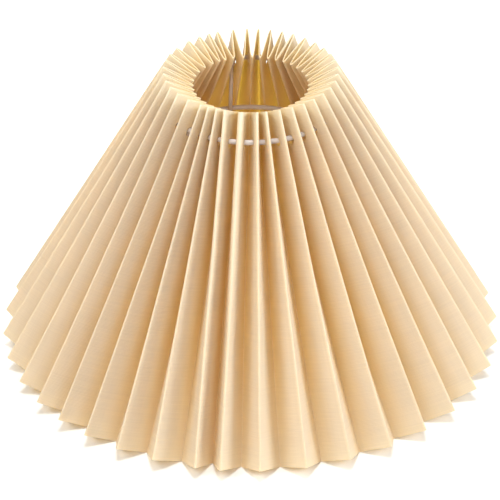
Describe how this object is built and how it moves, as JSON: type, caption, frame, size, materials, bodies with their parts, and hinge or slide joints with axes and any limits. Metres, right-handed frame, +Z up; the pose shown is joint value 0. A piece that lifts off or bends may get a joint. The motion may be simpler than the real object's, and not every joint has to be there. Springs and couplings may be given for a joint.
{
  "type": "pleated lamp shade",
  "caption": "Conical pleated lamp shade: a folded sheet gathered on a threaded wire ring that lifts off a three-armed wire carrier with a lamp-holder collar.",
  "frame": {"origin": "centre of the bottom edge, on the surface that the shade stands on", "axes": "+Z up along the shade's axis, -Y towards the front, +X to the right seen from the front"},
  "size_m": [0.2998, 0.3, 0.1814],
  "materials": {
    "shade_laminate": "cream woven textile laminated to a thin translucent film, matt, sharply creased",
    "powder_coated_wire": "white powder-coated steel wire, satin",
    "sleeve_steel": "plain steel sleeve, lightly crimped",
    "collar_enamel": "white powder-coated pressed steel, satin"
  },
  "bodies": {
    "carrier": {"fitter_collar": "collar_enamel", "carrier_ring": "powder_coated_wire", "arm_back": "powder_coated_wire", "arm_right": "powder_coated_wire", "arm_left": "powder_coated_wire"},
    "skirt": {"pleated_sheet": "shade_laminate", "gather_ring": "powder_coated_wire", "ring_sleeve": "sleeve_steel"}
  },
  "joints": [
    {"name": "shade_lift", "type": "slide", "parent": "carrier", "child": "skirt", "axis": [0, 0, 1], "range_m": [0, 0.18]}
  ]
}
